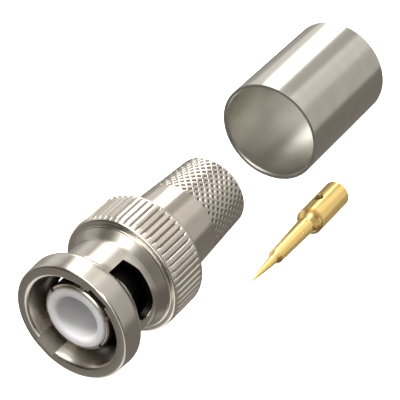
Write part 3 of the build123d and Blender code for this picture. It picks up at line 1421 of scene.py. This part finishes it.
@dataclass
class Studio:
    """Pale floor, soft light and the camera."""

    camera_place: tuple = (88.370, -114.390, 122.195)
    camera_turn: float = 32.3156
    camera_rise: float = 36.4118
    lens: float = 162.0
    sensor: float = 36.0
    clip: tuple = (0.01, 10.0)
    floor_height: float = -7.25
    floor_size: float = 3000.0
    room: tuple = (0.225, 0.205, 0.185, 1.0)
    white: tuple = (1.0, 1.0, 1.0, 1.0)
    warm: tuple = (1.0, 0.985, 0.955, 1.0)
    front: tuple = (-0.6, -0.15)
    front_height: tuple = (-0.25, 0.0)
    front_share: float = 0.2
    key_normal: tuple = (0.906, 0.395, 0.156)
    key_edge: tuple = (0.14, 0.22)
    key_height: tuple = (-0.1, 0.15)
    key_strength: float = 2.6
    strips: Sequence[Strip] = (
        Strip(33, 46, 5, 0.32),
        Strip(56, 17, 16, 0.26),
        Strip(163, 15, 10, 0.6),
        Strip(92, 22, 16, 0.26),
        Strip(90, 20, 14, 0.5, (0.68, 0.64)),
        Strip(-170, 16, 12, 0.2),
        Strip(-90, 24, 10, 0.9, (0.3, 0.1)),
        Strip(98, 20, 12, 0.35, (0.0, -0.2)),
    )
    lamps: Sequence[Lamp] = (
        Lamp("top_lamp", (-0.15, -0.13, 0.56), (0, 0, 0), 0.15, 3.4),
        Lamp("side_lamp", (0.47, 0.18, 0.12), (0.01, 0.03, 0), 0.2, 3.9),
    )

    def add_camera(self) -> None:
        """Places the camera where the photograph was taken from."""
        data = bpy.data.cameras.new("camera")
        data.lens = self.lens
        data.sensor_width = self.sensor
        data.clip_start, data.clip_end = self.clip
        camera = add_object("camera", data)
        camera.location = scaled(self.camera_place)
        tilt, turn = math.radians(90 - self.camera_rise), math.radians(self.camera_turn)
        camera.rotation_euler = (tilt, 0.0, turn)
        bpy.context.scene.camera = camera

    def add_floor(self) -> None:
        """Lays the floor just under the part."""
        mesh = bmesh.new()
        bmesh.ops.create_grid(mesh, x_segments=1, y_segments=1, size=self.floor_size / 2)
        bmesh.ops.translate(mesh, vec=(0, 0, self.floor_height), verts=mesh.verts)
        floor = piece_from(mesh, "floor")
        floor.data.materials.append(PaleFloor().make())
        floor.visible_glossy = False
        floor.visible_diffuse = False

    @staticmethod
    def backdrop(graph: Graph, colour: tuple, strength: Number) -> bpy.types.NodeSocket:
        """Adds a world shader of one colour, whose strength may vary with direction."""
        inputs = {"Color": colour, "Strength": strength}
        return graph.node("ShaderNodeBackground", {}, inputs).outputs[0]

    def add_room(self) -> None:
        """Lights the scene with long soft strips in a dim room."""
        world = bpy.data.worlds.new("studio")
        bpy.context.scene.world = world
        world.use_nodes = True
        graph = Graph(world.node_tree)
        direction = graph.node("ShaderNodeTexCoord").outputs["Generated"]
        parts = graph.node("ShaderNodeSeparateXYZ", {}, {0: direction})
        across, along, height = (Value(graph, out) for out in parts.outputs)
        angle = graph.maths("ARCTAN2", height, across) * (180 / math.pi)
        lean_x, lean_y, lean_z = self.key_normal
        from_key = graph.maths("ABSOLUTE", across * lean_x + along * lean_y + height * lean_z)
        key = (1 - from_key.ramp(*self.key_edge)) * height.ramp(*self.key_height)
        light = key * self.key_strength
        for strip in self.strips:
            wrapped = graph.maths("WRAP", angle - strip.angle, 180.0, -180.0)
            away = graph.maths("ABSOLUTE", wrapped)
            edge = strip.half_width - strip.softness / 2
            glow = (1 - away.ramp(edge, edge + strip.softness)) * along.ramp(*strip.ends)
            light = light + glow * strip.strength
        front = (1 - along.ramp(*self.front)) * height.ramp(*self.front_height)
        room = self.backdrop(graph, self.room, 1 - front * (1 - self.front_share))
        boxes = self.backdrop(graph, self.warm, light)
        both = graph.node("ShaderNodeAddShader", {}, {0: room, 1: boxes}).outputs[0]
        pale = self.backdrop(graph, self.white, 1.0)
        eye = graph.node("ShaderNodeLightPath").outputs["Is Camera Ray"]
        seen = graph.node("ShaderNodeMixShader", {}, {0: eye, 1: both, 2: pale}).outputs[0]
        graph.node("ShaderNodeOutputWorld", {}, {"Surface": seen})

    def build(self) -> None:
        """Sets up camera, floor and light."""
        bpy.context.scene.view_settings.view_transform = "Standard"
        self.add_camera()
        self.add_floor()
        self.add_room()
        for lamp in self.lamps:
            lamp.hang()


def main() -> None:
    """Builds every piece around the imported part."""
    logging.basicConfig(level=logging.INFO, format="%(name)s: %(message)s")
    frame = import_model()

    # shade is the near-black colour that the platings mix in as painted shade.
    shade = (0.03, 0.027, 0.023, 1.0)
    # Painted light: the nut takes a lighter copy of the nickel so that its grip looks lit.
    lit_nickel = ((0.82, 0.775, 0.70, 1.0), shade)
    nickel = ((0.70, 0.655, 0.585, 1.0), shade)
    tube = ((0.70, 0.685, 0.62, 1.0), shade)
    gold = ((1.0, 0.72, 0.27, 1.0), (0.34, 0.19, 0.06, 1.0))
    strip = ((0.56, 0.52, 0.44, 1.0), (0.25, 0.22, 0.17, 1.0))
    CouplingNut().build(NutPlating("nickel_nut", *lit_nickel, roughness=0.2, recess_share=0.5).make())
    BodyShell().build(Plating("nickel_body", *nickel, roughness=0.17, recess_share=0.78).make())
    OuterContact().build(SleevePlating("nickel_sleeve", *nickel, roughness=0.22).make())
    Insulator().build(WhiteInsulator().make())
    ferrule = Ferrule()
    axis = {"axis_x": ferrule.centre_x, "axis_z": ferrule.centre_z}
    ferrule.build(TubePlating("nickel_ferrule", *tube, roughness=0.18, **axis).make())
    contact = CentreContact()
    axis = {"axis_x": contact.centre_x, "axis_z": contact.centre_z}
    satin = {"roughness": 0.2, "metallic": 0.88, "line_depth": 0.0004}
    contact.build(GoldPlating("gold_contact", *gold, **satin, **axis).make())
    nodes = frame["nodes"]
    # The gasket's seal is painted near black as shade inside the nut.
    dress_node(nodes["gasket"], ShadeSeal().make())
    spring_metal = Plating("spring_strip", *strip, roughness=0.3).make()
    for name in ("front_washer", "rear_washer", "snap_ring"):
        dress_node(nodes[name], spring_metal)
    WaveSpring().build(spring_metal)

    Studio().build()


if __name__ == "__main__":
    main()
